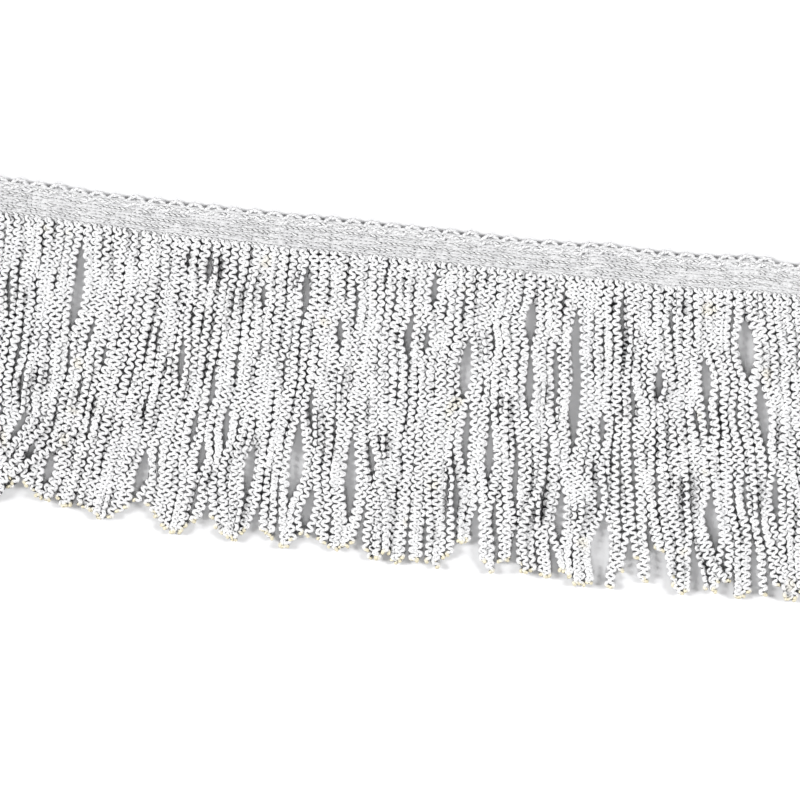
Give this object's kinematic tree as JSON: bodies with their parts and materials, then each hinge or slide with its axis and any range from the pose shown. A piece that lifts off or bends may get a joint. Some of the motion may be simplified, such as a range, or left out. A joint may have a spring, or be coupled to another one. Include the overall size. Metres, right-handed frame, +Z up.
{
  "type": "fringe trim",
  "caption": "Cut length of knitted fringe trim lying flat: a narrow ribbed heading with a scalloped edge, and crimped strands hanging from it.",
  "frame": {"origin": "middle of the trim's box in plan, at the surface it lies on", "axes": "+X along the heading, -Y from the heading towards the strands' tips, +Z up off the surface"},
  "size_m": [0.3172, 0.1058, 0.0023],
  "materials": {
    "heading": "white polyester yarn, knitted in rows",
    "fringe_under": "white crimped polyester yarn",
    "fringe_over": "white crimped polyester yarn"
  },
  "bodies": {
    "root": {"heading": "heading", "fringe_under": "fringe_under", "fringe_over": "fringe_over"}
  },
  "joints": []
}
